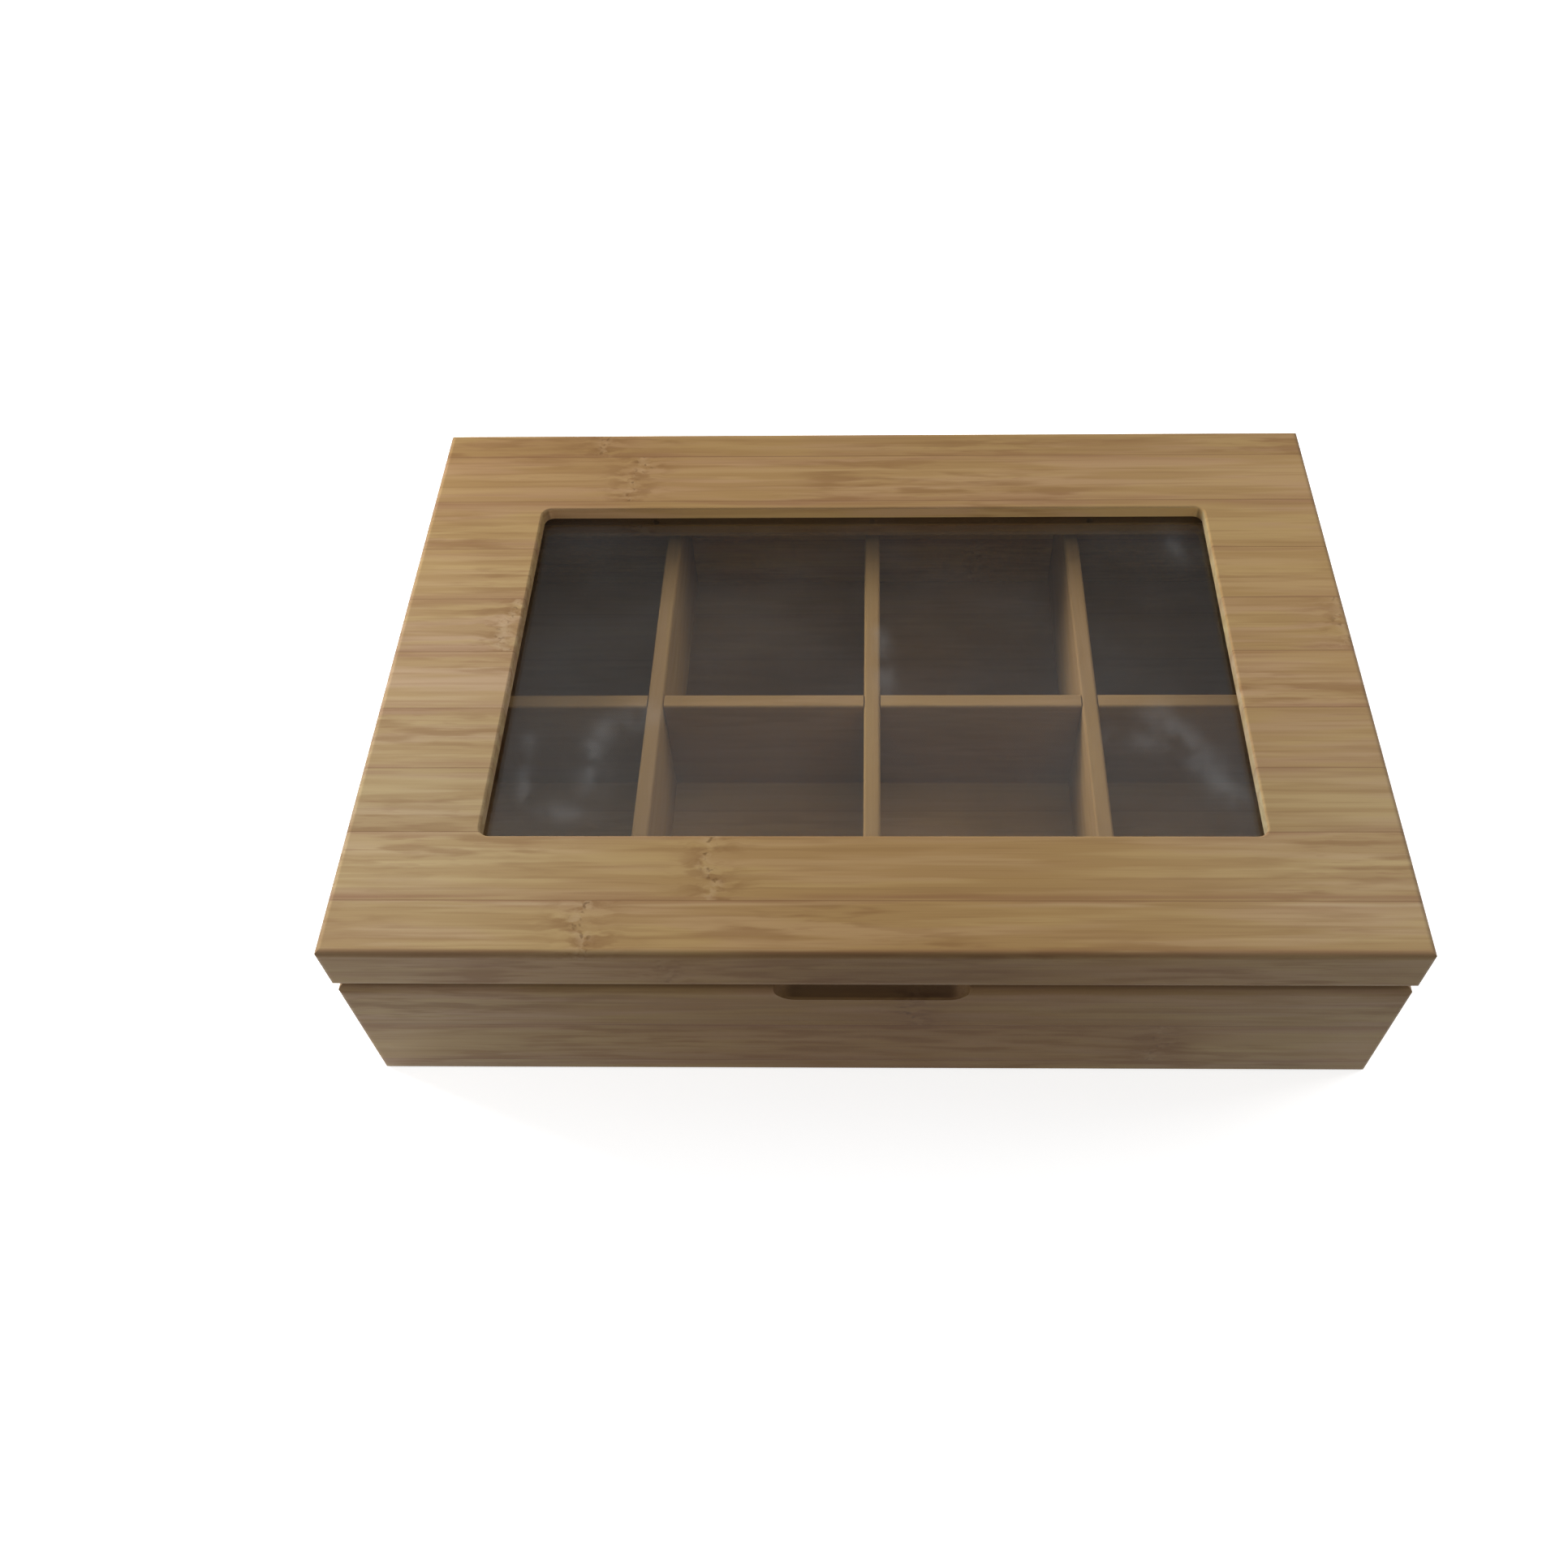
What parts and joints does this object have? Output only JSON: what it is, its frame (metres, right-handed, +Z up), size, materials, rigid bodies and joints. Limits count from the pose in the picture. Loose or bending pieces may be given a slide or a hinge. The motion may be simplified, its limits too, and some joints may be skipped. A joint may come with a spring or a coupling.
{
  "type": "tea bag organizer box",
  "caption": "Low bamboo tea box with a hinged, glazed lid over divided compartments for sachets, and a finger scoop in its front edge.",
  "frame": {"origin": "on the table under the middle of the closed box", "axes": "+X to the right along the long side, +Y to the back with the hinges, +Z up"},
  "size_m": [0.29, 0.205, 0.068],
  "materials": {
    "bamboo_lid": "edge-glued bamboo, sanded and thinly oiled, satin",
    "bamboo_box": "edge-glued bamboo, sanded and thinly oiled, satin",
    "bamboo_inner": "sanded bamboo, matt",
    "pane_clear": "clear polished sheet, slightly smudged",
    "hinge_brass": "brushed, slightly dulled",
    "pin_steel": "drawn wire, dull"
  },
  "bodies": {
    "box": {"front_wall": "bamboo_box", "back_wall": "bamboo_box", "left_wall": "bamboo_box", "right_wall": "bamboo_box", "bottom_panel": "bamboo_inner", "long_divider": "bamboo_inner", "cross_divider_left": "bamboo_inner", "cross_divider_middle": "bamboo_inner", "cross_divider_right": "bamboo_inner", "lower_leaf_left": "hinge_brass", "lower_leaf_right": "hinge_brass", "hinge_pin_left": "pin_steel", "hinge_pin_right": "pin_steel", "lower_hinge_screws": "hinge_brass"},
    "lid": {"lid_board": "bamboo_lid", "window_pane": "pane_clear", "bead_front": "bamboo_inner", "bead_back": "bamboo_inner", "bead_left": "bamboo_inner", "bead_right": "bamboo_inner", "bead_brads": "pin_steel", "upper_leaf_left": "hinge_brass", "upper_leaf_right": "hinge_brass", "upper_hinge_screws": "hinge_brass"}
  },
  "joints": [
    {"name": "lid_hinge", "type": "hinge", "parent": "box", "child": "lid", "pos_m": [0, 0.0982, 0.0498], "axis": [-1, 0, 0], "range_deg": [0, 95]}
  ]
}
